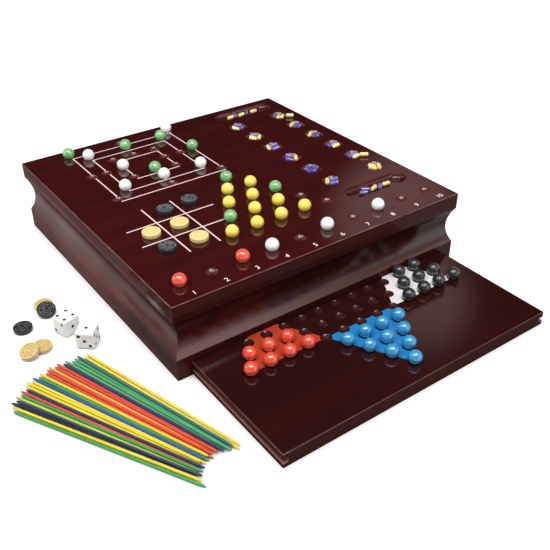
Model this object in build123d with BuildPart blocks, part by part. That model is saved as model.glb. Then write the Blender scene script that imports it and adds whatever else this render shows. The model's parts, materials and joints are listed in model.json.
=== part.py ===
from build123d import *
from math import cos, degrees, radians, sin, sqrt
import os

# Games compendium box: a square box with a cove moulding, game boards on its top panel,
# a star board that pulls out of its foot, and the game pieces set out as if in play.
# Millimetres. Origin at the centre of the underside, +X right, +Y back, +Z up.

# ---- box ----
box_side = 356.0
box_height = 83.6
top_thick = 11.6
top_edge_round = 0.8
wall = 15.5
top_band = 18.2
foot_band = 23.5
cove_depth = 6.4
cove_corner_round = 0.5

# ---- pull-out board ----
board_thick = 15.2
board_pull = 141.0
board_edge_round = 0.8
board_side_clearance = 0.5
board_end_clearance = 0.5
board_top_clearance = 0.8
groove_low = 4.7
groove_height = 4.0
groove_depth = 5.0

# ---- rails, fixings and divisions ----
rail_clearance = 0.3
rail_setback = 8.0
pin_radius = 0.6
pin_grip = 6.0
pin_recess = 0.5
pin_clearance = 0.05
pin_end_gap = 0.5
pins_per_rail = 4
pin_pitch = 80.0
dowel_radius = 3.0
dowel_in_top = 6.0
dowel_in_wall = 12.0
dowel_clearance = 0.05
dowel_end_gap = 0.5
dowels_per_side = 3
dowel_pitch = 110.0
block_leg = 20.0
block_height = 18.0
divider_thick = 6.0
divider_board_gap = 1.2
long_divider_x = 67.0
left_cross_y = -40.0
right_cross_y = 20.0

# ---- marbles and the pits that hold them ----
marble_radius = 7.0
marble_clearance = 0.3
top_pit_rim = 6.0
top_pit_depth = 3.1
star_pit_rim = 5.8
star_pit_depth = 1.8
rim_round = 0.5

# ---- mill board ----
mill_left_margin = 51.9
mill_rear_margin = 17.2
mill_outer = 65.8
mill_middle = 48.3
mill_inner = 27.0
mill_print_right = 0.9
mill_print_forward = 7.7
mill_print_trim = 0.5
line_width = 1.5
print_thick = 0.15
print_gap = 0.3

# ---- noughts grid ----
grid_left_margin = 26.4
grid_mill_gap = 36.2
grid_cell = 34.0
grid_lines = 102.0

# ---- solitaire triangle ----
triangle_mill_gap = 30.7
triangle_number_gap = 44.3
triangle_grid_overlap = 18.6
triangle_bowl_gap = 34.9
triangle_rows = 5

# ---- number row ----
number_front_margin = 27.4
number_side_margin = 24.3
number_count = 10

# ---- bowls and stores for the stones ----
bowl_rim = 11.3
bowl_depth = 6.0
far_bowl_margin = 26.5
bowl_columns_apart = 64.0
store_rear_margin = 23.0
store_front_margin = 68.0
store_bowl_step = 37.5
bowls_per_side = 6
store_length = 84.0
store_width = 23.0
store_depth = 5.8
store_floor_round = 5.2
stone_length = 10.0
stone_radius = 2.5
stone_round = 1.4
stone_clearance = 0.3
stone_gap = 0.35
heap_end_gap = 0.2
rear_spill_right = 8.5
rear_spill_forward = 13.7
front_spill_right = 6.8
front_spill_forward = 11.6
spill_turn = -36.0

# ---- star of pits ----
star_x = 3.3
star_setback = 171.2
star_pitch = 21.7
star_side = 4
field_pit_margin = 0.3

# ---- checkers ----
checker_radius = 9.6
checker_thick = 5.0
checker_round = 0.9
checker_groove_width = 0.8
checker_groove_depth = 0.5
checker_groove_pitch = 2.3
checker_first_groove = 2.3
checker_grooves = 3
checker_lean = 22.0
checker_lean_clearance = 0.15

# ---- dice ----
die_side = 19.2
die_round = 2.3
pip_radius = 1.7
pip_depth = 0.8
pip_clearance = 0.03
pip_recess = 0.1
pip_spread = 5.3

# ---- places of the loose checkers and dice, from the box's left side and along it ----
lone_checker_gap = 87.6
lone_checker_y = -18.9
rear_pair_gap = 55.9
rear_pair_y = 6.2
rear_pair_turn = -98.6
front_pair_gap = 83.1
front_pair_y = -58.7
front_pair_turn = -164.0
left_die_gap = 51.6
left_die_y = -46.1
left_die_turn = 17.0
right_die_gap = 43.2
right_die_y = -77.4
right_die_turn = 47.7

# ---- pick-up sticks ----
fan_side_gap = 46.0
fan_front_gap = 119.0
stick_length = 194.0
stick_radius = 1.4
stick_tip_length = 4.0
stick_tip_radius = 0.7
stick_colours = "GYKNLGRNYYYBGYRRORRNIIGTYY"
stick_first_angle = 118.5
stick_last_angle = 105.7
stick_near_pitch = 1.95
stick_rise = 2.2
stick_stagger = 2.8
stick_bulge = 15.0
stick_fall_back = 4.3

# Sizes and places that follow from the driving dimensions
half = box_side / 2
inner = half - wall
wall_height = box_height - top_thick
cove_low = foot_band
cove_high = box_height - top_band
board_width = 2 * (inner - board_side_clearance)
board_depth = half + inner - board_end_clearance
board_front = -half - board_pull
board_middle = board_front + board_depth / 2
slot_height = board_thick + board_top_clearance

mill_x = -half + mill_left_margin + mill_outer
mill_y = half - mill_rear_margin - mill_outer
mill_front = mill_y - mill_outer
grid_x = -half + grid_left_margin + grid_lines / 2
grid_y = mill_front - grid_mill_gap - grid_lines / 2
number_y = -half + number_front_margin
number_pitch = (box_side - 2 * number_side_margin) / (number_count - 1)
far_bowl_x = half - far_bowl_margin
near_bowl_x = far_bowl_x - bowl_columns_apart
store_x = (near_bowl_x + far_bowl_x) / 2
rear_store_y = half - store_rear_margin
front_store_y = -half + store_front_margin
first_bowl_y = rear_store_y - store_bowl_step
last_bowl_y = front_store_y + store_bowl_step
bowl_pitch = (first_bowl_y - last_bowl_y) / (bowls_per_side - 1)
triangle_y = mill_front - triangle_mill_gap
triangle_step_y = (triangle_y - number_y - triangle_number_gap) / (triangle_rows - 1)
triangle_left = grid_x + grid_lines / 2 - triangle_grid_overlap
triangle_right = near_bowl_x - triangle_bowl_gap
triangle_x = (triangle_left + triangle_right) / 2
triangle_step_x = (triangle_right - triangle_left) / (triangle_rows - 1)
row_pitch = star_pitch * sqrt(3) / 2
star_y = board_front + star_setback

os.makedirs("parts", exist_ok=True)


def keep(builder, name):
    """Name a finished piece and write it to its own file."""
    builder.part.label = name
    export_step(builder.part, f"parts/{name}.step")


def hollow(rim, depth):
    """Radius of the ball that cuts a hollow with this rim radius and depth."""
    return (rim**2 + depth**2) / (2 * depth)


def evenly(count, pitch):
    """Places along a line, centred on zero."""
    return [(step - (count - 1) / 2) * pitch for step in range(count)]


# ------------------------------------------------------------------ layout of the boards
mill_pits = []
for reach in (mill_outer, mill_middle, mill_inner):
    for across, up in ((-1, 1), (0, 1), (1, 1), (-1, 0), (1, 0), (-1, -1), (0, -1), (1, -1)):
        mill_pits.append((mill_x + reach * across, mill_y + reach * up))

triangle_pits = []
for row in range(triangle_rows):
    for shift in evenly(row + 1, triangle_step_x):
        triangle_pits.append((triangle_x + shift, triangle_y - row * triangle_step_y))

number_pits = [(shift, number_y) for shift in evenly(number_count, number_pitch)]

# Rows of the six-pointed star, from its front tip to its rear tip
long_row = 3 * star_side + 1
front_widths = list(range(1, star_side + 1)) + [long_row - step for step in range(star_side)]
star_widths = front_widths + [long_row - star_side] + front_widths[::-1]
star_pits = []
for row, width in enumerate(star_widths):
    for shift in evenly(width, star_pitch):
        star_pits.append((star_x + shift, star_y + (row - 2 * star_side) * row_pitch))

bowl_rows = [first_bowl_y - step * bowl_pitch for step in range(bowls_per_side)]
top_pits = mill_pits + triangle_pits + number_pits
top_pit_ball = hollow(top_pit_rim, top_pit_depth)
star_pit_ball = hollow(star_pit_rim, star_pit_depth)
bowl_ball = hollow(bowl_rim, bowl_depth)
bowl_centre_z = box_height - bowl_depth + bowl_ball
top_marble_z = box_height - top_pit_depth + marble_clearance + marble_radius
star_marble_z = board_thick - star_pit_depth + marble_clearance + marble_radius

# ------------------------------------------------------------------ top panel
dowel_line = half - wall / 2
dowel_spots = []
for place in evenly(dowels_per_side, dowel_pitch):
    for side in (-1, 1):
        dowel_spots += [(place, side * dowel_line), (side * dowel_line, place)]

with BuildPart() as top_board:
    with BuildSketch(Plane.XY.offset(wall_height)):
        Rectangle(box_side, box_side)
    extrude(amount=top_thick)
    fillet(top_board.edges().group_by(Axis.Z)[-1], top_edge_round)
    with BuildSketch(Plane.XY.offset(box_height)):
        with Locations((store_x, rear_store_y), (store_x, front_store_y)):
            SlotOverall(store_length, store_width)
    extrude(amount=-store_depth, mode=Mode.SUBTRACT)
    store_floors = top_board.faces().filter_by(Plane.XY).group_by(Axis.Z)[-2]
    fillet(store_floors.edges(), store_floor_round)
    with Locations(*[(x, y, bowl_centre_z) for x in (near_bowl_x, far_bowl_x) for y in bowl_rows]):
        Sphere(bowl_ball, mode=Mode.SUBTRACT)
    with Locations(*[(x, y, box_height - top_pit_depth + top_pit_ball) for x, y in top_pits]):
        Sphere(top_pit_ball, mode=Mode.SUBTRACT)
    top_face = top_board.faces().filter_by(Plane.XY).sort_by(Axis.Z)[-1]
    fillet([rim.edges() for rim in top_face.inner_wires()], rim_round)
    with BuildSketch(Plane.XY.offset(wall_height)):
        with Locations(*dowel_spots):
            Circle(dowel_radius + dowel_clearance)
    extrude(amount=dowel_in_top + dowel_end_gap, mode=Mode.SUBTRACT)
keep(top_board, "top_board")

# ------------------------------------------------------------------ mitred mouldings
# Each side is a length of the same section, standing in its own place and cut to the two
# mitre planes that pass through the middle of the box.
pin_z = groove_low + groove_height / 2
pin_places = evenly(pins_per_rail, pin_pitch)
rail_face = board_width / 2 - groove_depth + rail_clearance

for name, out in (
    ("front_moulding", Vector(0, -1, 0)),
    ("rear_moulding", Vector(0, 1, 0)),
    ("left_moulding", Vector(-1, 0, 0)),
    ("right_moulding", Vector(1, 0, 0)),
):
    along = out.cross(Vector(0, 0, 1))
    with BuildPart() as moulding:
        with BuildSketch(Plane(origin=(0, 0, 0), x_dir=out, z_dir=along)) as section:
            with BuildLine():
                cove_middle = (half - cove_depth, (cove_low + cove_high) / 2)
                Polyline((half, cove_high), (half, wall_height), (inner, wall_height),
                         (inner, 0), (half, 0), (half, cove_low))
                ThreePointArc((half, cove_low), cove_middle, (half, cove_high))
            make_face()
            heights = section.vertices().group_by(Axis.Y)
            fillet(heights[1] + heights[2], cove_corner_round)
        extrude(amount=half, both=True)
        split(bisect_by=Plane(origin=(0, 0, 0), z_dir=out - along), keep=Keep.TOP)
        split(bisect_by=Plane(origin=(0, 0, 0), z_dir=out + along), keep=Keep.TOP)
        with BuildSketch(Plane.XY.offset(wall_height)):
            with Locations(*dowel_spots):
                Circle(dowel_radius + dowel_clearance)
        extrude(amount=-dowel_in_wall - dowel_end_gap, mode=Mode.SUBTRACT)
        if name == "front_moulding":
            with BuildSketch():
                with Locations((0, -dowel_line)):
                    Rectangle(board_width + 2 * board_side_clearance, 2 * wall)
            extrude(amount=slot_height, mode=Mode.SUBTRACT)
        if name in ("left_moulding", "right_moulding"):
            with BuildSketch(Plane(origin=out * inner, x_dir=(0, 0, 1), z_dir=out)):
                with Locations(*[(pin_z, place) for place in pin_places]):
                    Circle(pin_radius + pin_clearance)
            extrude(amount=pin_grip + pin_end_gap, mode=Mode.SUBTRACT)
    keep(moulding, name)

# ------------------------------------------------------------------ rails and their pins
rail_low = groove_low + rail_clearance
rail_high = groove_low + groove_height - rail_clearance
for name, side in (("left_rail", -1), ("right_rail", 1)):
    with BuildPart() as rail:
        with BuildSketch(Plane.XY.offset(rail_low)):
            with Locations((side * (rail_face + inner) / 2, rail_setback / 2)):
                Rectangle(inner - rail_face, 2 * inner - rail_setback)
        extrude(amount=rail_high - rail_low)
        with BuildSketch(Plane(origin=(side * rail_face, 0, 0), x_dir=(0, 0, 1), z_dir=(side, 0, 0))):
            with Locations(*[(pin_z, place) for place in pin_places]):
                Circle(pin_radius + pin_clearance)
        extrude(amount=inner - rail_face, mode=Mode.SUBTRACT)
    keep(rail, name)

pin_head = rail_face + pin_recess
with BuildPart() as rail_pins:
    for side in (-1, 1):
        with BuildSketch(Plane(origin=(side * pin_head, 0, 0), x_dir=(0, 0, 1), z_dir=(side, 0, 0))):
            with Locations(*[(pin_z, place) for place in pin_places]):
                Circle(pin_radius)
        extrude(amount=inner + pin_grip - pin_head)
keep(rail_pins, "rail_pins")

# ------------------------------------------------------------------ dowels, blocks, divisions
with BuildPart() as top_dowels:
    with BuildSketch(Plane.XY.offset(wall_height - dowel_in_wall)):
        with Locations(*dowel_spots):
            Circle(dowel_radius)
    extrude(amount=dowel_in_wall + dowel_in_top)
keep(top_dowels, "top_dowels")

with BuildPart() as corner_blocks:
    with BuildSketch(Plane.XY.offset(wall_height - block_height)):
        for side_x, side_y in ((-1, -1), (1, -1), (1, 1), (-1, 1)):
            corner = (side_x * inner, side_y * inner)
            along_x = (side_x * (inner - block_leg), side_y * inner)
            along_y = (side_x * inner, side_y * (inner - block_leg))
            Polygon(corner, along_x, along_y, align=None)
    extrude(amount=block_height)
keep(corner_blocks, "corner_blocks")

divider_low = board_thick + divider_board_gap
divider_left = long_divider_x - divider_thick / 2
divider_right = long_divider_x + divider_thick / 2
for name, low_x, high_x, low_y, high_y in (
    ("long_divider", divider_left, divider_right, -inner, inner),
    ("left_cross_divider", -inner, divider_left, left_cross_y, left_cross_y + divider_thick),
    ("right_cross_divider", divider_right, inner, right_cross_y, right_cross_y + divider_thick),
):
    with BuildPart() as divider:
        with BuildSketch(Plane.XY.offset(divider_low)):
            with Locations(((low_x + high_x) / 2, (low_y + high_y) / 2)):
                Rectangle(high_x - low_x, high_y - low_y)
        extrude(amount=wall_height - divider_low)
    keep(divider, name)

# ------------------------------------------------------------------ printed lines on the top
# The mill's print lies a little to the front of its pits, and stops short of every pit.
print_x = mill_x + mill_print_right
print_y = mill_y - mill_print_forward
with BuildPart() as mill_lines:
    with BuildSketch(Plane.XY.offset(box_height)):
        for reach in (mill_outer, mill_middle, mill_inner):
            outside = 2 * (reach - mill_print_trim) + line_width
            with Locations((print_x, print_y)):
                Rectangle(outside, outside)
                Rectangle(outside - 2 * line_width, outside - 2 * line_width, mode=Mode.SUBTRACT)
        with Locations(*mill_pits):
            Circle(top_pit_rim + print_gap, mode=Mode.SUBTRACT)
    extrude(amount=print_thick)
keep(mill_lines, "mill_lines")

with BuildPart() as noughts_lines:
    with BuildSketch(Plane.XY.offset(box_height)):
        for side in (-1, 1):
            with Locations((grid_x + side * grid_cell / 2, grid_y)):
                Rectangle(line_width, grid_lines)
            with Locations((grid_x, grid_y + side * grid_cell / 2)):
                Rectangle(grid_lines, line_width)
        with Locations(*triangle_pits):
            Circle(top_pit_rim + print_gap, mode=Mode.SUBTRACT)
    extrude(amount=print_thick)
keep(noughts_lines, "noughts_lines")

# ------------------------------------------------------------------ pull-out board
with BuildPart() as star_board:
    with BuildSketch():
        with Locations((0, board_middle)):
            Rectangle(board_width, board_depth)
    extrude(amount=board_thick)
    fillet(star_board.edges().group_by(Axis.Z)[-1], board_edge_round)
    with BuildSketch(Plane.XY.offset(groove_low)):
        for side in (-1, 1):
            with Locations((side * (board_width - groove_depth) / 2, board_middle)):
                Rectangle(groove_depth, board_depth)
    extrude(amount=groove_height, mode=Mode.SUBTRACT)
    with Locations(*[(x, y, board_thick - star_pit_depth + star_pit_ball) for x, y in star_pits]):
        Sphere(star_pit_ball, mode=Mode.SUBTRACT)
    board_face = star_board.faces().filter_by(Plane.XY).sort_by(Axis.Z)[-1]
    fillet([rim.edges() for rim in board_face.inner_wires()], rim_round)
keep(star_board, "star_board")

# Each point of the star is a painted triangle from its tip pit to two corners of the hexagon.
tip_reach = 2 * star_side * row_pitch
corner_reach = star_side * star_pitch
for name, tip_angle in (
    ("blue_field", -90),
    ("white_field", -30),
    ("black_field", 30),
    ("green_field", 90),
    ("yellow_field", 150),
    ("red_field", -150),
):
    corners = []
    for reach, turn in ((tip_reach, 0), (corner_reach, 30), (corner_reach, -30)):
        angle = radians(tip_angle + turn)
        corners.append((star_x + reach * cos(angle), star_y + reach * sin(angle)))
    with BuildPart() as field:
        with BuildSketch(Plane.XY.offset(board_thick)):
            Polygon(*corners, align=None)
            with Locations(*star_pits):
                Circle(star_pit_rim + field_pit_margin, mode=Mode.SUBTRACT)
        extrude(amount=print_thick)
    keep(field, name)

# ------------------------------------------------------------------ marbles in their pits
# One letter for each pit, in the order of its layout. A dot is an empty pit.
mill_play = "G.W.G..." + "WGG..WWW" + "...W..G."
triangle_play = "G" + "YY" + "YYG" + "GYY." + "YYYY."
number_play = "R.RW.W.W.."
star_play = "BBBBBBBBBB" + "RRRR.....KKKK" + "RRR......KKK" + ".........KK"

for name, pits, play, letter, height in (
    ("mill_green_marbles", mill_pits, mill_play, "G", top_marble_z),
    ("mill_white_marbles", mill_pits, mill_play, "W", top_marble_z),
    ("solitaire_green_marbles", triangle_pits, triangle_play, "G", top_marble_z),
    ("solitaire_yellow_marbles", triangle_pits, triangle_play, "Y", top_marble_z),
    ("number_red_marbles", number_pits, number_play, "R", top_marble_z),
    ("number_white_marbles", number_pits, number_play, "W", top_marble_z),
    ("star_blue_marbles", star_pits, star_play, "B", star_marble_z),
    ("star_red_marbles", star_pits, star_play, "R", star_marble_z),
    ("star_black_marbles", star_pits, star_play, "K", star_marble_z),
):
    filled = [(x, y, height) for (x, y), mark in zip(pits, play) if mark == letter]
    with BuildPart() as marbles:
        with Locations(*filled):
            Sphere(marble_radius)
    keep(marbles, name)

# ------------------------------------------------------------------ checkers
with BuildPart() as checker:
    Cylinder(checker_radius, checker_thick, align=(Align.CENTER, Align.CENTER, Align.MIN))
    fillet(checker.edges().filter_by(GeomType.CIRCLE), checker_round)
    with BuildSketch(Plane.XY.offset(checker_thick)):
        for ring in range(checker_grooves):
            groove = checker_first_groove + ring * checker_groove_pitch
            Circle(groove + checker_groove_width)
            Circle(groove, mode=Mode.SUBTRACT)
    extrude(amount=-checker_groove_depth, mode=Mode.SUBTRACT)


def leaning(x, y, direction):
    """Place of a checker that leans on the rim of a flat one at x, y, from this direction."""
    lean = radians(checker_lean)
    rim = checker_radius - checker_round
    foot = rim * sin(lean) - checker_round * cos(lean) + checker_round
    gap = checker_round + checker_lean_clearance
    rise = foot - checker_thick + checker_round
    reach = rim + (gap - rise * cos(lean)) / sin(lean)
    away = Vector(cos(radians(direction)), sin(radians(direction)), 0)
    middle = Vector(x, y, foot) + away * reach
    side = Vector(0, 0, 1).cross(away)
    return Plane(origin=middle, x_dir=side, z_dir=away * sin(lean) + Vector(0, 0, cos(lean))).location


def flat(x, y, z):
    """Place of a checker that lies flat."""
    return Location((x, y, z))


# On the grid: colour, cell across and up, and how far the checker lies from the cell's middle
grid_spots = {"K": [], "C": []}
for mark, across, up, drift_x, drift_y in (
    ("K", 0, 1, 1.7, -1.5),
    ("K", 1, 1, -1.1, 2.4),
    ("C", -1, 0, 1.6, -0.9),
    ("C", 0, 0, 0.0, -0.3),
    ("K", -1, -1, 1.1, -0.5),
    ("C", 0, -1, 1.9, -1.6),
):
    x = grid_x + across * grid_cell + drift_x
    y = grid_y + up * grid_cell + drift_y
    grid_spots[mark].append(flat(x, y, box_height))

# The loose ones lie beside the box: one black alone, one black and one cream leaning on creams.
lone_spot = (-half - lone_checker_gap, lone_checker_y)
rear_pair = (-half - rear_pair_gap, rear_pair_y)
front_pair = (-half - front_pair_gap, front_pair_y)
for name, spots in (
    ("noughts_black_checkers", grid_spots["K"]),
    ("noughts_cream_checkers", grid_spots["C"]),
    ("loose_black_checkers", [flat(*lone_spot, 0), leaning(*rear_pair, rear_pair_turn)]),
    ("loose_cream_checkers", [flat(*rear_pair, 0), flat(*front_pair, 0), leaning(*front_pair, front_pair_turn)]),
):
    with BuildPart() as checkers:
        with Locations(*spots):
            add(checker.part)
    keep(checkers, name)

# ------------------------------------------------------------------ dice
pip_patterns = {
    1: [(0, 0)],
    2: [(-1, -1), (1, 1)],
    3: [(-1, 1), (0, 0), (1, -1)],
    4: [(-1, -1), (-1, 1), (1, -1), (1, 1)],
    5: [(-1, -1), (-1, 1), (0, 0), (1, -1), (1, 1)],
    6: [(-1, -1), (-1, 0), (-1, 1), (1, -1), (1, 0), (1, 1)],
}


def die_faces(values):
    """The six faces as planes that face outwards, each with its number of pips."""
    reach = die_side / 2
    faces = []
    for out, value in zip((Vector(-1, 0, 0), Vector(0, -1, 0)), values):
        right = Vector(0, 0, 1).cross(out)
        faces.append((Plane(origin=out * reach, x_dir=right, z_dir=out), value))
        faces.append((Plane(origin=out * -reach, x_dir=right * -1, z_dir=out * -1), 7 - value))
    faces.append((Plane(origin=(0, 0, reach), x_dir=(1, 0, 0), z_dir=(0, 0, 1)), values[2]))
    faces.append((Plane(origin=(0, 0, -reach), x_dir=(1, 0, 0), z_dir=(0, 0, -1)), 7 - values[2]))
    return faces


# Values shown on the left, right and top faces
for name, x, y, turn, values in (
    ("left_die", -half - left_die_gap, left_die_y, left_die_turn, (2, 1, 4)),
    ("right_die", -half - right_die_gap, right_die_y, right_die_turn, (3, 5, 1)),
):
    stand = Location((x, y, die_side / 2), (0, 0, turn))
    with BuildPart() as cube:
        Box(die_side, die_side, die_side)
        fillet(cube.edges(), die_round)
        for face, value in die_faces(values):
            spots = [(a * pip_spread, b * pip_spread) for a, b in pip_patterns[value]]
            with BuildSketch(face):
                with Locations(*spots):
                    Circle(pip_radius + pip_clearance)
            extrude(amount=-pip_depth, mode=Mode.SUBTRACT)
    with BuildPart() as pips:
        for face, value in die_faces(values):
            spots = [(a * pip_spread, b * pip_spread) for a, b in pip_patterns[value]]
            with BuildSketch(face.offset(-pip_depth)):
                with Locations(*spots):
                    Circle(pip_radius)
            extrude(amount=pip_depth - pip_recess)
    with BuildPart() as die:
        with Locations(stand):
            add(cube.part)
    keep(die, name)
    with BuildPart() as die_pips:
        with Locations(stand):
            add(pips.part)
    keep(die_pips, name + "_pips")

# ------------------------------------------------------------------ stones
# A stone is a short peg with rounded ends, made along X.
with BuildPart() as stone:
    Cylinder(stone_radius, stone_length, rotation=(0, 90, 0))
    fillet(stone.edges().filter_by(GeomType.CIRCLE), stone_round)

# In a bowl every stone touches the wall near its two ends. A heap is two or three stones side
# by side, most with one more across an end of them.
end_reach = stone_length / 2 - stone_round
end_ball = bowl_ball - stone_round - stone_clearance
stone_swing = sqrt(end_ball**2 - end_reach**2) - (stone_radius - stone_round)
stone_spread = 2 * stone_radius + stone_gap
heap_shift = stone_spread / 2
heap_end = stone_spread + heap_end_gap


def in_bowl(x, y, turn, along, across, twist):
    """Place of a stone that is rolled up the wall of a bowl, along and across its heap."""
    heap = Location((x, y, bowl_centre_z), (0, 0, turn))
    lengthways = Location((0, 0, 0), (0, -degrees(along / stone_swing), 0))
    sideways = Location((0, 0, 0), (degrees(across / stone_swing), 0, 0))
    return heap * lengthways * sideways * Location((0, 0, -stone_swing), (0, 0, twist))


# Heaps from back to front: the stones side by side, the one across an end, which end, and the turn
near_heaps = (("YVV", "V", 1, -48), ("YYV", "Y", 1, -40), ("VVV", "Y", -1, -20),
              ("VVV", "Y", 1, -34), ("VVV", "V", -1, -60), ("VVV", "Y", -1, -36))
far_heaps = (("YYV", "", 0, 40), ("VV", "Y", -1, -55), ("VVY", "", 0, 40),
             ("YV", "V", -1, -12), ("YV", "V", -1, -14), ("YY", "Y", 1, -34))
stone_spots = {"Y": [], "V": []}
for x, heaps in ((near_bowl_x, near_heaps), (far_bowl_x, far_heaps)):
    for y, (sides, last, end, turn) in zip(bowl_rows, heaps):
        for mark, across in zip(sides, evenly(len(sides), stone_spread)):
            stone_spots[mark].append(in_bowl(x, y, turn, -end * heap_shift, across, 0))
        if last:
            stone_spots[last].append(in_bowl(x, y, turn, end * heap_end, 0, 90))

# In the stores they lie end to end in a loose row: colour, place along and across, and turn.
store_stone_z = box_height - store_depth + stone_radius + stone_clearance / 2
rear_row = (("Y", -19.2, 0.6, 5), ("V", -10.6, 3.0, 75), ("Y", -2.4, 0.2, 12),
            ("V", 7.3, 1.8, 55), ("Y", 17.6, 0.9, 5))
front_row = (("V", -12.4, 3.2, -38), ("V", -19.2, -1.8, -24), ("Y", -2.4, 0.6, 22),
             ("V", 5.6, -0.6, 54), ("Y", 15.6, 0.2, -4))
for y, row in ((rear_store_y, rear_row), (front_store_y, front_row)):
    for mark, along, across, turn in row:
        stone_spots[mark].append(Location((store_x + along, y + across, store_stone_z), (0, 0, turn)))

# Two have rolled out beside the far bowls.
for y, right, forward in (
    (bowl_rows[0], rear_spill_right, rear_spill_forward),
    (bowl_rows[4], front_spill_right, front_spill_forward),
):
    spot = (far_bowl_x + right, y - forward, box_height + stone_radius)
    stone_spots["Y"].append(Location(spot, (0, 0, spill_turn)))

for name, mark in (("yellow_stones", "Y"), ("violet_stones", "V")):
    with BuildPart() as stones:
        with Locations(*stone_spots[mark]):
            add(stone.part)
    keep(stones, name)

# ------------------------------------------------------------------ pick-up sticks
# A fan on the table. Every second stick lies on the table, and its neighbours rest in the
# grooves between those at their near ends, and come down to the table at their far ends.
with BuildPart() as stick:
    with BuildSketch(Plane.XY):
        with BuildLine():
            Polyline(
                (0, 0), (0, stick_tip_radius), (stick_tip_length, stick_radius),
                (stick_length - stick_tip_length, stick_radius),
                (stick_length, stick_tip_radius), (stick_length, 0), (0, 0),
            )
        make_face()
    revolve(axis=Axis.X)

near_left = Vector(-half - fan_side_gap, -half - fan_front_gap, 0)
fan_angle = radians((stick_first_angle + stick_last_angle) / 2)
fan_along = Vector(cos(fan_angle), sin(fan_angle), 0)
fan_across = Vector(sin(fan_angle), -cos(fan_angle), 0)
stick_spots = {}
for place, mark in enumerate(stick_colours):
    share = place / (len(stick_colours) - 1)
    angle = radians(stick_first_angle + share * (stick_last_angle - stick_first_angle))
    rise = stick_rise * (place % 2)
    heading = Vector(cos(angle) * stick_length, sin(angle) * stick_length, -rise).normalized()
    advance = 4 * stick_bulge * share * (1 - share) - stick_fall_back * share
    stagger = stick_stagger * (place * 3 % 7 - 3) / 3
    start = near_left + fan_across * (place * stick_near_pitch) + fan_along * advance
    start += Vector(0, 0, stick_radius + rise) + heading * stagger
    level = Vector(0, 0, 1).cross(heading)
    spot = Plane(origin=start, x_dir=heading, z_dir=heading.cross(level)).location
    stick_spots.setdefault(mark, []).append(spot)

for name, mark in (
    ("green_sticks", "G"),
    ("light_green_sticks", "I"),
    ("lime_sticks", "L"),
    ("yellow_sticks", "Y"),
    ("orange_sticks", "O"),
    ("red_sticks", "R"),
    ("blue_sticks", "B"),
    ("teal_sticks", "T"),
    ("navy_sticks", "N"),
    ("black_sticks", "K"),
):
    with BuildPart() as sticks:
        with Locations(*stick_spots[mark]):
            add(stick.part)
    keep(sticks, name)
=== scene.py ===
import json
import math

import bmesh
import bpy
from mathutils import Matrix, Vector


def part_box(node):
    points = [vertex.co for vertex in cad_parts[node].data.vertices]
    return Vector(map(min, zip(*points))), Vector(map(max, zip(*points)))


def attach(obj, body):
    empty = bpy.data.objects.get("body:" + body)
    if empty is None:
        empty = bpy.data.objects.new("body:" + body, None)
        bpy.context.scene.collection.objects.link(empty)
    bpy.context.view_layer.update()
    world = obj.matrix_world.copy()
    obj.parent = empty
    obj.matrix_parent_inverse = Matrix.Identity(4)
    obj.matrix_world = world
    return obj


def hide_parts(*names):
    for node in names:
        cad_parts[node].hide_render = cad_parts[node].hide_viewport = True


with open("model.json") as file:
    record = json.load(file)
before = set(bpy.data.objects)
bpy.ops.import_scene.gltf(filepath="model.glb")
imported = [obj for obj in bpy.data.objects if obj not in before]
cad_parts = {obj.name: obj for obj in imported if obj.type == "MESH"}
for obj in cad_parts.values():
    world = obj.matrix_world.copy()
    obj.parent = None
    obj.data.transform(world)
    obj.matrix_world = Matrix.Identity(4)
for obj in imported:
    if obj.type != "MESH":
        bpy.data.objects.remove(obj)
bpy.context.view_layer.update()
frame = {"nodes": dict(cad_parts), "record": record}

nodes = frame["nodes"]
weld = 1e-6  # metres, under which two points are one
print("frame loaded:", len(nodes), "nodes")

# camera, light and floor
camera = {
    "place": (-0.41278, -0.65854, 0.47076),
    "turn": -35.675,  # degrees round the box from straight in front, minus is to the left
    "rise": 33.838,
    "roll": -0.321,
    "lens": 49.76,
    "sensor": 36.0,
    "clip": (0.02, 30),
}
lamps = (  # name, place, aim, width, height and watts
    ("softbox", (-0.07, -0.59, 1.25), (0.0, -0.15, 0.05), 0.95, 0.60, 15.0),
    ("left_softbox", (-0.60, -0.08, 1.18), (0.0, -0.15, 0.05), 0.40, 0.55, 6.0),
    ("left_strip", (-0.95, 0.45, 0.58), (0.0, -0.1, 0.05), 0.22, 0.60, 2.4),
)
studio = {
    "dome": 0.40,  # plain light all round, on matt surfaces
    "low": 0.55,  # what gloss shows of the room near the floor
    "middle": 0.01,  # of its dark middle
    "high": 0.45,  # and of its ceiling
    "lowFades": (0.08, 0.38),  # where one turns into the next, as the sine of the angle over level
    "highFades": (0.70, 0.95),
    "glows": (  # pale stretches of wall: degrees right of the front, degrees up, how bright, and how wide
        (27, 25, 3.1, 12),
        (50, 18, 2.3, 14),
        (40, 42, 1.0, 24),
        (130.8, 35.2, 0.8, 4.4),
        (134, 29.3, 0.7, 6.0),
        (20, 10, 2.9, 16),
    ),
    "glowCore": 3,  # the middle third of a glow is even
    "warm": (1.0, 0.66, 0.62, 1.0),  # the colour of the glows
}
floor = {
    "size": 12.0,
    "below": 0.0002,
    "colour": (0.4, 0.4, 0.4, 1.0),
    "lift": 0.84,  # makes it white to the camera and in gloss, and sheds no light on the pieces
    "contact": 0.015,  # the lift fades this near to a piece: painted contact shade
}


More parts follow.
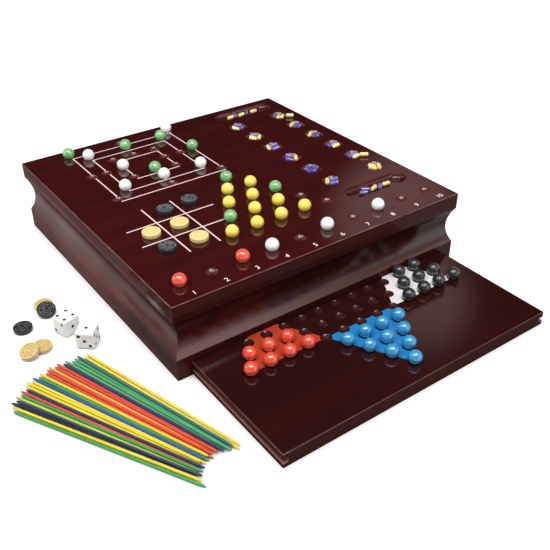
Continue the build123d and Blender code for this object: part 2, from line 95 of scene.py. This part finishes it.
def addCamera(look):
    turn, rise, roll = (math.radians(look[key]) for key in ("turn", "rise", "roll"))
    back = Vector((math.sin(turn) * math.cos(rise), -math.cos(turn) * math.cos(rise), math.sin(rise)))
    level = Vector((0, 0, 1)).cross(back).normalized()
    up = back.cross(level)
    right = math.cos(roll) * level + math.sin(roll) * up
    above = math.cos(roll) * up - math.sin(roll) * level
    data = bpy.data.cameras.new("camera")
    data.lens, data.sensor_width = look["lens"], look["sensor"]
    data.clip_start, data.clip_end = look["clip"]
    eye = bpy.data.objects.new("camera", data)
    bpy.context.scene.collection.objects.link(eye)
    turned = Matrix((right, above, back)).transposed().to_4x4()
    eye.matrix_world = Matrix.Translation(look["place"]) @ turned
    bpy.context.scene.camera = eye


def addLamp(name, place, aim, width, height, watts):
    data = bpy.data.lights.new(name, "AREA")
    data.shape = "RECTANGLE"
    data.size, data.size_y = width, height
    data.energy = watts
    lamp = bpy.data.objects.new(name, data)
    bpy.context.scene.collection.objects.link(lamp)
    aimed = (Vector(aim) - Vector(place)).to_track_quat("-Z", "Y")
    lamp.matrix_world = Matrix.Translation(place) @ aimed.to_matrix().to_4x4()


# Adds a shader node. Each socket, by name or number, takes a value or another node's output.
def add(tree, kind, sockets=None, **settings):
    made = tree.nodes.new("ShaderNode" + kind)
    for name, value in settings.items():
        setattr(made, name, value)
    for name, value in (sockets or {}).items():
        if isinstance(value, bpy.types.NodeSocket):
            tree.links.new(value, made.inputs[name])
        else:
            made.inputs[name].default_value = value
    return made


def maths(tree, operation, first, second=0.0):
    return add(tree, "Math", {0: first, 1: second}, operation=operation).outputs[0]


def blended(tree, share, first, second):
    return add(tree, "Mix", {0: share, 2: first, 3: second}, data_type="FLOAT").outputs[0]


def spread(tree, value, low, high, least=0.0, most=1.0, smooth=False):
    inputs = {"Value": value, "From Min": low, "From Max": high, "To Min": least, "To Max": most}
    kind = "SMOOTHSTEP" if smooth else "LINEAR"
    return add(tree, "MapRange", inputs, interpolation_type=kind).outputs["Result"]


def addStudio(room):
    world = bpy.data.worlds.new("studio")
    bpy.context.scene.world = world
    world.use_nodes = True
    tree = world.node_tree
    tree.nodes.clear()
    way = add(tree, "TexCoord").outputs["Generated"]
    height = add(tree, "SeparateXYZ", {0: way}).outputs["Z"]
    overFloor = spread(tree, height, *room["lowFades"], smooth=True)
    overWall = spread(tree, height, *room["highFades"], smooth=True)
    shine = blended(tree, overWall, blended(tree, overFloor, room["low"], room["middle"]), room["high"])
    glow = 0.0
    for side, rise, most, reach in room["glows"]:
        side, rise, reach = (math.radians(angle) for angle in (side, rise, reach))
        centre = Vector((math.sin(side) * math.cos(rise), -math.cos(side) * math.cos(rise), math.sin(rise)))
        facing = add(tree, "VectorMath", {0: way, 1: centre}, operation="DOT_PRODUCT").outputs["Value"]
        rim, core = math.cos(reach), math.cos(reach / room["glowCore"])
        glow = maths(tree, "ADD", glow, spread(tree, facing, rim, core, 0.0, most, smooth=True))
    light = add(tree, "LightPath").outputs
    mirrored = maths(tree, "MAXIMUM", light["Is Glossy Ray"], light["Is Transmission Ray"])
    level = blended(tree, mirrored, room["dome"], shine)
    level = blended(tree, light["Is Camera Ray"], level, 1.0)
    even = add(tree, "Background", {"Color": (1, 1, 1, 1), "Strength": level})
    glow = maths(tree, "MULTIPLY", glow, mirrored)
    warm = add(tree, "Background", {"Color": room["warm"], "Strength": glow})
    both = add(tree, "AddShader", {0: even.outputs[0], 1: warm.outputs[0]})
    add(tree, "OutputWorld", {"Surface": both.outputs[0]})


def asObject(made, name):
    mesh = bpy.data.meshes.new(name)
    made.to_mesh(mesh)
    made.free()
    piece = bpy.data.objects.new(name, mesh)
    bpy.context.scene.collection.objects.link(piece)
    return piece


def addFloor(ground):
    made = bmesh.new()
    bmesh.ops.create_grid(made, x_segments=2, y_segments=2, size=ground["size"] / 2)
    bmesh.ops.translate(made, verts=made.verts, vec=(0, 0, -ground["below"]))
    sheet = asObject(made, "studio_floor")
    material = bpy.data.materials.new("studio_floor")
    material.use_nodes = True
    tree = material.node_tree
    tree.nodes.clear()
    matt = add(tree, "BsdfDiffuse", {"Color": ground["colour"]})
    light = add(tree, "LightPath").outputs
    seen = maths(tree, "MAXIMUM", light["Is Glossy Ray"], light["Is Transmission Ray"])
    seen = maths(tree, "MAXIMUM", light["Is Camera Ray"], seen)
    # where a piece covers the floor closely the lift fades: painted contact shade
    uncovered = add(tree, "AmbientOcclusion", {"Distance": ground["contact"]}).outputs["AO"]
    level = maths(tree, "MULTIPLY", maths(tree, "MULTIPLY", seen, ground["lift"]), uncovered)
    lift = add(tree, "Emission", {"Strength": level})
    both = add(tree, "AddShader", {0: matt.outputs[0], 1: lift.outputs[0]})
    add(tree, "OutputMaterial", {"Surface": both.outputs[0]})
    sheet.data.materials.append(material)


addCamera(camera)
for lamp in lamps:
    addLamp(*lamp)
addStudio(studio)
addFloor(floor)
bpy.context.scene.view_settings.view_transform = "Standard"
print("camera, light and floor done")


# how a finish is put together
cloudFades = (0.35, 0.65)  # the stretch of a soft noise over which one tone turns into another


def startFinish(name, look):
    material = bpy.data.materials.new(name)
    material.use_nodes = True
    tree = material.node_tree
    tree.nodes.clear()
    shader = add(tree, "BsdfPrincipled", look["gloss"])
    add(tree, "OutputMaterial", {"Surface": shader.outputs[0]})
    return material, tree, shader


def mapped(tree, stretch, turn=0.0):
    place = add(tree, "TexCoord").outputs["Object"]
    turned = add(tree, "Mapping", {"Vector": place, "Rotation": (0, 0, math.radians(-turn))}).outputs[0]
    return add(tree, "Mapping", {"Vector": turned, "Scale": stretch}).outputs[0]


def noise(tree, place, scale, detail=3.0, warp=0.0):
    sockets = {"Vector": place, "Scale": scale, "Detail": detail, "Distortion": warp}
    return add(tree, "TexNoise", sockets).outputs[0]


def mixed(tree, share, first, second):
    tints = [tint if isinstance(tint, bpy.types.NodeSocket) else (*tint, 1) for tint in (first, second)]
    return add(tree, "Mix", {0: share, 6: tints[0], 7: tints[1]}, data_type="RGBA").outputs[2]


def product(tree, *factors):
    result = factors[0]
    for factor in factors[1:]:
        result = maths(tree, "MULTIPLY", result, factor)
    return result


def dented(tree, shader, height, depth):
    bump = add(tree, "Bump", {"Height": height, "Distance": depth})
    tree.links.new(bump.outputs[0], shader.inputs["Normal"])


def coloured(tree, shader, colour):
    tree.links.new(colour, shader.inputs["Base Color"])


# The X, Y and Z of a point on a piece, in the shared frame.
def placed(tree):
    return add(tree, "SeparateXYZ", {0: add(tree, "TexCoord").outputs["Object"]}).outputs


# Steps from one value to the next at each height over the table.
def byHeight(tree, first, steps):
    height = placed(tree)["Z"]
    value = first
    for step, (level, soft) in steps:
        value = blended(tree, spread(tree, height, step - soft, step + soft), value, level)
    return value


# 1 on the upright faces round a board, 0 elsewhere.
def onRim(tree, name, margin):
    low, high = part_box(name)
    place = placed(tree)
    rim = 0.0
    for axis in (0, 1):
        middle, reach = (low[axis] + high[axis]) / 2, (high[axis] - low[axis]) / 2 - margin
        out = maths(tree, "ABSOLUTE", maths(tree, "SUBTRACT", place[axis], middle))
        rim = maths(tree, "MAXIMUM", rim, maths(tree, "GREATER_THAN", out, reach))
    return rim


# lacquered mahogany
mahogany = {
    "dark": (0.029, 0.0040, 0.0036),
    "red": (0.043, 0.0050, 0.0044),
    "pore": (0.018, 0.0030, 0.0028),
    "figure": 7.0,  # broad bands to the metre along the grain
    "figureLength": 7.0,  # how many times as long as it is wide each one is
    "figureDetail": 4,
    "figureWarp": 0.7,
    "figureFades": (0.32, 0.68),
    "pores": 420.0,  # to the metre across the grain
    "poreLength": 22.0,
    "poreFades": (0.55, 0.75),
    "poreShare": 0.30,
    "ripple": 38.0,
    "rippleDepth": 0.00002,
    "rimShine": 0.12,  # weight of the lacquer on the edges, which are rubbed duller than the face
    "rimMargin": 0.0004,
    # paler wood on the upright sides round a board: a painted sheen
    "rimSheenWood": (0.055, 0.0130, 0.0105),
    "edgeWearAndHighlight": (0.26, 0.135, 0.115),  # the lacquer worn pale along the upper edge, with a painted highlight along the arris
    "edgeWidth": 0.0006,
    "edgeWear": 60.0,
    "edgeWearFades": (0.3, 0.7),
    "edgeWearLeast": 0.25,
    "cutStainAndGlow": (0.100, 0.0210, 0.0165),  # paler walls in the pits and stores: a thinner stain, with a painted glow of the light they catch
    "cutDepth": (0.0005, 0.0025),  # how far under the face it starts, and where it fades out again
    "gloss": {
        "Roughness": 0.6,
        "Specular IOR Level": 0.0,
        "Coat Roughness": 0.06,
        "Coat IOR": 1.5,
    },
}
moulded = dict(mahogany)
moulded.update({
    "dark": (0.030, 0.0052, 0.0043),
    "red": (0.048, 0.0078, 0.0063),
    "pore": (0.016, 0.0035, 0.0030),
    # coat weight at the foot, then each height over which it changes: to what, and how softly
    "shine": (0.20, ((0.0235, (1.0, 0.0010)), (0.0420, (0.22, 0.0060)))),
    "gloss": dict(mahogany["gloss"], **{"Coat Roughness": 0.2}),
})
sideMouldedSheen = dict(moulded)
sideMouldedSheen.update({
    # the sides are paler and redder than the front and rear: a painted sheen in place of the light their
    # duller lacquer reflects
    "dark": (0.034, 0.0100, 0.0080),
    "red": (0.150, 0.0500, 0.0390),
    "pore": (0.030, 0.0090, 0.0075),
    "figure": 5.0,
    "figureLength": 5.0,
    "shine": (0.10, ((0.0235, (0.38, 0.0010)), (0.0450, (0.10, 0.0060)))),
    "patches": 9.0,  # where the lacquer shines less and more along the sides
    "patchStretch": (1, 1, 0.3),
    "patchShine": (0.8, 1.4),
    "rubbed": ((-0.1780, -0.1480, 0.0720), 0.025, 0.90),  # place, reach and weight of a spot handled bright
})
pulledOut = dict(mahogany)
pulledOut.update({
    "dark": (0.018, 0.0034, 0.0030),
    "red": (0.024, 0.0040, 0.0034),
    "poreShare": 0.12,
    "rimShine": 0.06,
    # on the pulled-out board: a painted sheen on its sides, a painted highlight in its worn edge, a painted
    # glow in its stained pit walls
    "rimSheenWood": (0.045, 0.0110, 0.0085),
    "edgeWearAndHighlight": (0.15, 0.080, 0.068),
    "cutStainAndGlow": (0.036, 0.0080, 0.0070),
    "bareWoodLit": (0.34, 0.145, 0.108),  # unlacquered wood in the side grooves, made paler still as painted light against the shade inside them
    "grooves": (0.1568, 0.0046, 0.0088),  # how far out they start, and their lower and upper edge
    "gloss": dict(mahogany["gloss"], **{"Coat Roughness": 0.09}),
})


# Paler walls in what is cut into a board's face, a thinner stain with a painted glow of light; paler
# upright sides, a painted sheen, under duller lacquer; and a pale upper edge, worn and with a painted
# highlight.
def boardWood(tree, wood, look, board):
    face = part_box(board)[1].z
    height = placed(tree)["Z"]
    start, gone = look["cutDepth"]
    # paler walls below the face: a thinner stain, with a painted glow of light
    fading = spread(tree, height, face - gone - start, face - gone)
    cut = product(tree, maths(tree, "LESS_THAN", height, face - start), fading)
    # paler upright sides: a painted sheen
    rim = onRim(tree, board, look["rimMargin"])
    wood = mixed(tree, rim, mixed(tree, cut, wood, look["cutStainAndGlow"]), look["rimSheenWood"])
    upper = maths(tree, "GREATER_THAN", height, face - look["edgeWidth"])
    wear = noise(tree, mapped(tree, (1, 1, 1)), look["edgeWear"], 2)
    wear = spread(tree, wear, *look["edgeWearFades"], look["edgeWearLeast"], 1.0)
    # a pale upper edge: wear, with a painted highlight along the arris
    worn = product(tree, onRim(tree, board, look["edgeWidth"]), upper, wear)
    return mixed(tree, worn, wood, look["edgeWearAndHighlight"]), blended(tree, rim, 1.0, look["rimShine"])


# Pale wood in the side grooves: unlacquered, and lightened as painted light where the groove lies in shade.
def bareLitGrooves(tree, wood, look):
    place = placed(tree)
    side, low, high = look["grooves"]
    beside = maths(tree, "GREATER_THAN", maths(tree, "ABSOLUTE", place["X"]), side)
    over = maths(tree, "GREATER_THAN", place["Z"], low)
    under = maths(tree, "LESS_THAN", place["Z"], high)
    return mixed(tree, product(tree, beside, over, under), wood, look["bareWoodLit"])


# How the lacquer shines on a moulding, which is rubbed down in some places and handled bright in others.
def mouldingShine(tree, look):
    shine = byHeight(tree, *look["shine"])
    if "patches" in look:
        patches = noise(tree, mapped(tree, look["patchStretch"]), look["patches"], 1)
        shine = product(tree, shine, spread(tree, patches, *cloudFades, *look["patchShine"]))
    if "rubbed" in look:
        spot, reach, weight = look["rubbed"]
        place = add(tree, "TexCoord").outputs["Object"]
        away = add(tree, "VectorMath", {0: place, 1: spot}, operation="DISTANCE").outputs["Value"]
        shine = maths(tree, "MAXIMUM", shine, spread(tree, away, reach, 0.0, 0.0, weight, smooth=True))
    return shine


def lacqueredWood(name, look, turn, board=None):
    material, tree, shader = startFinish(name, look)
    longer = look["figureLength"]
    broad = mapped(tree, (1, longer, longer), turn)
    broad = noise(tree, broad, look["figure"], look["figureDetail"], look["figureWarp"])
    longer = look["poreLength"]
    fine = noise(tree, mapped(tree, (1, longer, longer), turn), look["pores"] / longer, 2)
    wood = mixed(tree, spread(tree, broad, *look["figureFades"]), look["dark"], look["red"])
    wood = mixed(tree, spread(tree, fine, *look["poreFades"], 0.0, look["poreShare"]), wood, look["pore"])
    if board:
        wood, shine = boardWood(tree, wood, look, board)
    else:
        shine = mouldingShine(tree, look)
    if "bareWoodLit" in look:
        wood = bareLitGrooves(tree, wood, look)
    tree.links.new(shine, shader.inputs["Coat Weight"])
    coloured(tree, shader, wood)
    ripple = noise(tree, mapped(tree, (1, 1, 1)), look["ripple"], 1)
    dented(tree, shader, ripple, look["rippleDepth"])
    return material


# wood inside the box
innerWood = {
    "pale": (0.52, 0.33, 0.17),
    "brown": (0.36, 0.20, 0.09),
    "rings": 26.0,  # to the metre along the grain
    "ringLength": 9.0,
    "ringWarp": 1.2,
    "ringFades": (0.4, 0.62),
    "fibres": 900.0,
    "fibreStretch": (0.04, 1, 1),
    "fibreDepth": 0.00006,
    "gloss": {"Roughness": 0.6, "Specular IOR Level": 0.3},
}


def sawnWood(name, look, turn):
    material, tree, shader = startFinish(name, look)
    longer = look["ringLength"]
    rings = noise(tree, mapped(tree, (1, longer, longer), turn), look["rings"], 3, look["ringWarp"])
    fibres = noise(tree, mapped(tree, look["fibreStretch"], turn), look["fibres"], 2)
    share = spread(tree, rings, *look["ringFades"])
    coloured(tree, shader, mixed(tree, share, look["pale"], look["brown"]))
    dented(tree, shader, fibres, look["fibreDepth"])
    return material


# print and paint under the lacquer
printed = {
    "speckle": 1600.0,
    "speckleFades": (0.52, 0.8),
    "under": (0.16, 0.03, 0.03),
    "thin": 0.22,  # how much of the wood shows through the thin spots
    "cloudSize": 30,  # in specks
    "cloudShare": 0.25,
    "worn": 0.7,  # brightness of the clouds, as a share of the rest
    "gloss": {
        "Roughness": 0.4,
        "Specular IOR Level": 0.2,
        "Coat Weight": 1.0,
        "Coat Roughness": 0.05,
        "Coat IOR": 1.5,
    },
}
paints = {
    "line_print": (0.86, 0.66, 0.66),
    "blue_paint": (0.009, 0.19, 0.47),
    "white_paint": (0.78, 0.75, 0.76),
    "black_paint": (0.012, 0.012, 0.014),
    "green_paint": (0.02, 0.26, 0.08),
    "yellow_paint": (0.85, 0.58, 0.03),
    "red_paint": (0.42, 0.045, 0.018),
}


def printedColour(name, look, colour):
    material, tree, shader = startFinish(name, look)
    grain = noise(tree, mapped(tree, (1, 1, 1)), look["speckle"], 2)
    cloud = noise(tree, mapped(tree, (1, 1, 1)), look["speckle"] / look["cloudSize"], 2)
    worn = [part * look["worn"] for part in colour]
    tone = mixed(tree, spread(tree, cloud, *cloudFades, 0.0, look["cloudShare"]), colour, worn)
    thin = spread(tree, grain, *look["speckleFades"], 0.0, look["thin"])
    coloured(tree, shader, mixed(tree, thin, tone, look["under"]))
    return material


# marbles
marble = {
    "cloud": 90.0,
    "cloudWarp": 1.5,
    "cracks": 210.0,
    "crackWidth": 0.035,
    "gloss": {
        "Roughness": 0.22,
        "Specular IOR Level": 0.6,
        "Coat Weight": 1.0,
        "Coat Roughness": 0.12,
        "Coat IOR": 1.5,
    },
}
satinMarble = dict(marble)
satinMarble["gloss"] = {
    "Roughness": 0.34,
    "Specular IOR Level": 0.75,
    "Coat Weight": 0.25,
    "Coat Roughness": 0.2,
}
marbleTints = {  # the body, its paler clouds, and how plainly its fine cracks show
    "green_marble": ((0.100, 0.385, 0.110), (0.22, 0.53, 0.21), 0.10),
    "white_marble": ((0.86, 0.86, 0.85), (0.93, 0.93, 0.93), 0.0),
    "yellow_marble": ((0.93, 0.68, 0.045), (0.96, 0.76, 0.09), 0.20),
    "red_marble": ((0.76, 0.060, 0.030), (0.82, 0.085, 0.045), 0.0),
    "blue_marble": ((0.020, 0.235, 0.50), (0.034, 0.285, 0.56), 0.0),
    "black_marble": ((0.013, 0.015, 0.015), (0.020, 0.023, 0.024), 0.0),
}


def marbleGlass(name, look, body, cloud, cracked):
    material, tree, shader = startFinish(name, look)
    place = mapped(tree, (1, 1, 1))
    share = spread(tree, noise(tree, place, look["cloud"], 3, look["cloudWarp"]), *cloudFades)
    tone = mixed(tree, share, body, cloud)
    if cracked:
        sockets = {"Vector": place, "Scale": look["cracks"]}
        cells = add(tree, "TexVoronoi", sockets, feature="DISTANCE_TO_EDGE")
        line = spread(tree, cells.outputs["Distance"], 0.0, look["crackWidth"], cracked, 0.0)
        tone = mixed(tree, line, tone, (1, 1, 1))
    coloured(tree, shader, tone)
    return material


# checkers, dice, stones and sticks
checkerWood = {
    "figure": 420.0,
    "figureWarp": 0.6,
    "fibres": 1400.0,
    "fibreStretch": (0.1, 1, 1),
    "fibreWay": 30,  # degrees
    "fibreFades": (0.55, 0.75),
    "fibreShare": 0.3,
    "fibreDepth": 0.00004,
    "gloss": {"Roughness": 0.36, "Specular IOR Level": 0.5, "Coat Weight": 0.35, "Coat Roughness": 0.2},
}
blackPolish = dict(checkerWood)
blackPolish["gloss"] = {
    "Roughness": 0.3,
    "Specular IOR Level": 0.25,
    "Coat Weight": 0.12,
    "Coat Roughness": 0.15,
}
checkerTints = {  # the wood, its figure, and the colour in the ring grooves, which on black is a painted highlight of the light the groove walls catch, and on cream is darker
    "black": ((0.010, 0.011, 0.012), (0.018, 0.019, 0.021), (0.30, 0.30, 0.32)),
    # the set on the board is paler, with paler rings: a painted sheen
    "lit_black": ((0.018, 0.020, 0.022), (0.028, 0.031, 0.034), (0.50, 0.52, 0.54)),
    "pale_cream": ((0.80, 0.66, 0.29), (0.72, 0.56, 0.21), (0.58, 0.42, 0.14)),
    "gold_cream": ((0.66, 0.50, 0.20), (0.58, 0.41, 0.145), (0.40, 0.25, 0.075)),
}
dieWhite = {
    "tints": ((0.90, 0.90, 0.86), (0.84, 0.84, 0.79)),
    "cloud": 60.0,
    "cloudWarp": 0.8,
    "gloss": {
        "Roughness": 0.3,
        "Subsurface Weight": 0.2,
        "Subsurface Radius": (1.0, 0.9, 0.7),
        "Subsurface Scale": 0.002,
        "Coat Weight": 0.4,
        "Coat Roughness": 0.1,
    },
}
pipBlack = {
    "tints": ((0.012, 0.012, 0.012), (0.03, 0.03, 0.03)),
    "cloud": 2500.0,
    "cloudWarp": 0.8,
    "gloss": {"Roughness": 0.45, "Specular IOR Level": 0.2},
}
stoneGlass = {
    "cloud": 330.0,
    "cloudWarp": 0.8,
    "gloss": {
        "Roughness": 0.15,
        "Specular IOR Level": 0.7,
        "Subsurface Weight": 0.25,
        "Subsurface Radius": (1.0, 1.0, 1.0),
        "Subsurface Scale": 0.0015,
        "Coat Weight": 1.0,
        "Coat Roughness": 0.03,
    },
}
stoneTints = {  # the stone and its paler streaks
    "yellow_stone": ((0.80, 0.60, 0.12), (0.92, 0.80, 0.38)),
    "violet_stone": ((0.07, 0.045, 0.24), (0.17, 0.12, 0.42)),
}
steel = {
    "tints": ((0.6, 0.6, 0.6), (0.4, 0.4, 0.42)),
    "cloud": 900.0,
    "cloudWarp": 0.8,
    "gloss": {"Metallic": 1.0, "Roughness": 0.35},
}
stickPaint = {
    "grainWay": 112.0,  # the sticks lie this way across the table, in degrees
    "grain": 1500.0,
    "grainStretch": (0.02, 1, 1),
    "grainFades": (0.4, 0.7),
    "grainDepth": 0.00004,
    "worn": 0.65,  # brightness of the worn streaks, as a share of the rest
    "gloss": {"Roughness": 0.38, "Specular IOR Level": 0.5},
}
stickTints = {
    "green": (0.050, 0.32, 0.065),
    "light_green": (0.085, 0.34, 0.14),
    "lime": (0.46, 0.55, 0.06),
    "yellow": (0.80, 0.62, 0.035),
    "orange": (0.78, 0.36, 0.05),
    "red": (0.66, 0.065, 0.030),
    "blue": (0.018, 0.10, 0.38),
    "teal": (0.015, 0.14, 0.20),
    "navy": (0.016, 0.034, 0.12),
    "black": (0.012, 0.012, 0.015),
}


def turnedWood(name, look, pale, deep):
    material, tree, shader = startFinish(name, look)
    cloud = noise(tree, mapped(tree, (1, 1, 1)), look["figure"], 3, look["figureWarp"])
    fibres = noise(tree, mapped(tree, look["fibreStretch"], look["fibreWay"]), look["fibres"], 2)
    tone = mixed(tree, spread(tree, cloud, *cloudFades), pale, deep)
    share = spread(tree, fibres, *look["fibreFades"], 0.0, look["fibreShare"])
    coloured(tree, shader, mixed(tree, share, tone, deep))
    dented(tree, shader, fibres, look["fibreDepth"])
    return material


def mottled(name, look, first, second):
    material, tree, shader = startFinish(name, look)
    cloud = noise(tree, mapped(tree, (1, 1, 1)), look["cloud"], warp=look["cloudWarp"])
    coloured(tree, shader, mixed(tree, spread(tree, cloud, *cloudFades), first, second))
    return material


def paintedStick(name, look, colour):
    material, tree, shader = startFinish(name, look)
    along = mapped(tree, look["grainStretch"], look["grainWay"])
    grain = noise(tree, along, look["grain"], 2)
    worn = [part * look["worn"] for part in colour]
    coloured(tree, shader, mixed(tree, spread(tree, grain, *look["grainFades"]), colour, worn))
    dented(tree, shader, grain, look["grainDepth"])
    return material


# finishes on the pieces from the frame
def dress(names, material):
    for name in names:
        piece = nodes[name]
        piece.data.materials.clear()
        piece.data.materials.append(material)


slots = {part["node"]: part["material_slot"] for part in frame["record"]["subparts"]}


def inSlot(slot):
    return [name for name in nodes if slots[name] == slot]


dress(["top_board"], lacqueredWood("mahogany_top", mahogany, 0, "top_board"))
dress(["star_board"], lacqueredWood("mahogany_pull_out", pulledOut, 0, "star_board"))
dress(("front_moulding", "rear_moulding"), lacqueredWood("mahogany_across", moulded, 0))
dress(("left_moulding", "right_moulding"), lacqueredWood("mahogany_along_sheen", sideMouldedSheen, 90))
across = ("left_cross_divider", "right_cross_divider", "corner_blocks")
along = ("left_rail", "right_rail", "long_divider", "top_dowels")
dress(across, sawnWood("inner_wood_across", innerWood, 0))
dress(along, sawnWood("inner_wood_along", innerWood, 90))
for slot, colour in paints.items():
    dress(inSlot(slot), printedColour(slot, printed, colour))
for slot, tints in marbleTints.items():
    dress(inSlot(slot), marbleGlass(slot, satinMarble if slot == "black_marble" else marble, *tints))
for slot, tints in stoneTints.items():
    dress(inSlot(slot), mottled(slot, stoneGlass, *tints))
for name, colour in stickTints.items():
    dress([name + "_sticks"], paintedStick(name + "_stick", stickPaint, colour))
for slot, look in (("die_white", dieWhite), ("pip_black", pipBlack), ("pin_steel", steel)):
    dress(inSlot(slot), mottled(slot, look, *look["tints"]))
print("finishes done")


# checkers with three turned ring grooves, each set in the place of its plain ones
checker = {
    "radius": 0.0096,
    "thick": 0.0050,
    "edge": 0.0009,
    "rings": (0.0023, 0.0046, 0.0069),  # inner edge of each groove
    "ringWidth": 0.0008,
    "ringSlope": 0.0002,
    "ringDepth": 0.0005,
    "steps": 56,
    "edgeSteps": 4,
    "sharp": 50.0,  # degrees between faces, over which an edge is left hard
}
checkerSets = (  # node, body, slot and tints
    ("noughts_black_checkers", "noughts_set", "black_checker", "lit_black"),
    ("noughts_cream_checkers", "noughts_set", "cream_checker", "pale_cream"),
    ("loose_black_checkers", "loose_checkers", "black_checker", "black"),
    ("loose_cream_checkers", "loose_checkers", "cream_checker", "gold_cream"),
)
flat = 0.9999  # cosine between the faces of one flat side


def turnedChecker(look):
    made = bmesh.new()
    top, depth = look["thick"], look["thick"] - look["ringDepth"]
    outline = [(0.0, top)]
    for ring in look["rings"]:
        end = ring + look["ringWidth"]
        outline += [(ring, top), (ring + look["ringSlope"], depth)]
        outline += [(end - look["ringSlope"], depth), (end, top)]
    outline += [(look["radius"], top), (look["radius"], 0.0), (0.0, 0.0)]
    corners = [made.verts.new((out, 0.0, up)) for out, up in outline]
    for first, second in zip(corners, corners[1:]):
        made.edges.new((first, second))
    bmesh.ops.spin(
        made, geom=made.verts[:] + made.edges[:], cent=(0, 0, 0), axis=(0, 0, 1), angle=math.tau,
        steps=look["steps"], use_merge=True,
    )
    bmesh.ops.remove_doubles(made, verts=made.verts, dist=weld)
    bmesh.ops.recalc_face_normals(made, faces=made.faces)
    rims = [
        edge for edge in made.edges
        if all(vert.co.xy.length > look["radius"] - weld for vert in edge.verts)
        and abs(edge.verts[0].co.z - edge.verts[1].co.z) < weld
    ]
    bmesh.ops.bevel(
        made, geom=rims, offset=look["edge"], affect="EDGES", segments=look["edgeSteps"],
        profile=0.5, material=-1,
    )
    for face in made.faces:
        face.smooth = True
        middle = face.calc_center_median()
        out = middle.xy.length
        grooved = any(ring < out < ring + look["ringWidth"] for ring in look["rings"])
        face.material_index = int(grooved and middle.z > top - 2 * look["ringDepth"])
    for edge in made.edges:
        edge.smooth = edge.calc_face_angle(0.0) < math.radians(look["sharp"])
    mesh = bpy.data.meshes.new("checker")
    made.to_mesh(mesh)
    made.free()
    return mesh


# The faces of each separate solid in a bmesh.
def solidsOf(made):
    found, seen = [], set()
    for start in made.faces:
        if start.index in seen:
            continue
        seen.add(start.index)
        solid = [start]
        for face in solid:
            for edge in face.edges:
                for beside in edge.link_faces:
                    if beside.index not in seen:
                        seen.add(beside.index)
                        solid.append(beside)
        found.append(solid)
    return found


# Where a checker stands and which way it faces. Of its two flats, the plain one has the fewest faces.
def seatOf(solid):
    widest = max(solid, key=lambda face: face.calc_area()).normal
    flats = [(way, [face for face in solid if face.normal.dot(way) > flat]) for way in (widest, -widest)]
    down, plain = min(flats, key=lambda side: len(side[1]))
    area = sum(face.calc_area() for face in plain)
    middle = sum((face.calc_center_median() * face.calc_area() for face in plain), Vector()) / area
    turn = Vector((0, 0, 1)).rotation_difference(-down)
    return Matrix.Translation(middle) @ turn.to_matrix().to_4x4()


turned = turnedChecker(checker)
for node, body, slot, tints in checkerSets:
    solids = bmesh.new()
    solids.from_mesh(nodes[node].data)
    bmesh.ops.remove_doubles(solids, verts=solids.verts, dist=weld)
    solids.faces.index_update()
    made = bmesh.new()
    for solid in solidsOf(solids):
        before = len(made.verts)
        made.from_mesh(turned)
        bmesh.ops.transform(made, matrix=seatOf(solid), verts=made.verts[before:])
    solids.free()
    piece = asObject(made, "turned_" + node)
    wood, figure, groove = checkerTints[tints]
    polish = blackPolish if slot == "black_checker" else checkerWood
    piece.data.materials.append(turnedWood(node, polish, wood, figure))
    # the grooves' colour: on black a painted highlight
    piece.data.materials.append(turnedWood(node + "_rings", polish, groove, wood))
    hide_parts(node)
    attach(piece, body)
print("checkers done")

# plain numbers along the front row of pits
numerals = {
    "count": 10,
    "sideMargin": 0.0243,  # from the board's side to the middle of the first pit
    "frontMargin": 0.0080,
    "right": 0.0039,  # how far each stands to the right of its pit
    "size": 0.0082,
    "thick": 0.00015,
    "thinner": 0.004,  # of the size, off each side of a stroke
}


def addNumerals(look):
    made = bmesh.new()
    low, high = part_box("top_board")
    pitch = (high.x - low.x - 2 * look["sideMargin"]) / (look["count"] - 1)
    first = low.x + look["sideMargin"] + look["right"]
    across, up = low.y + look["frontMargin"], high.z + look["thick"] / 2
    for index in range(look["count"]):
        text = bpy.data.curves.new("numeral", "FONT")
        text.body = str(index + 1)
        text.size = look["size"]
        text.align_x, text.align_y = "CENTER", "CENTER"
        text.extrude = look["thick"] / 2
        text.offset = -look["thinner"] * look["size"]
        holder = bpy.data.objects.new("numeral", text)
        drawn = bpy.data.meshes.new_from_object(holder)
        drawn.transform(Matrix.Translation((first + index * pitch, across, up)))
        made.from_mesh(drawn)
        bpy.data.objects.remove(holder)
        bpy.data.curves.remove(text)
        bpy.data.meshes.remove(drawn)
    bmesh.ops.remove_doubles(made, verts=made.verts, dist=weld)
    piece = asObject(made, "number_row")
    piece.data.materials.append(bpy.data.materials["line_print"])
    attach(piece, "box")


addNumerals(numerals)
print("numbers done")
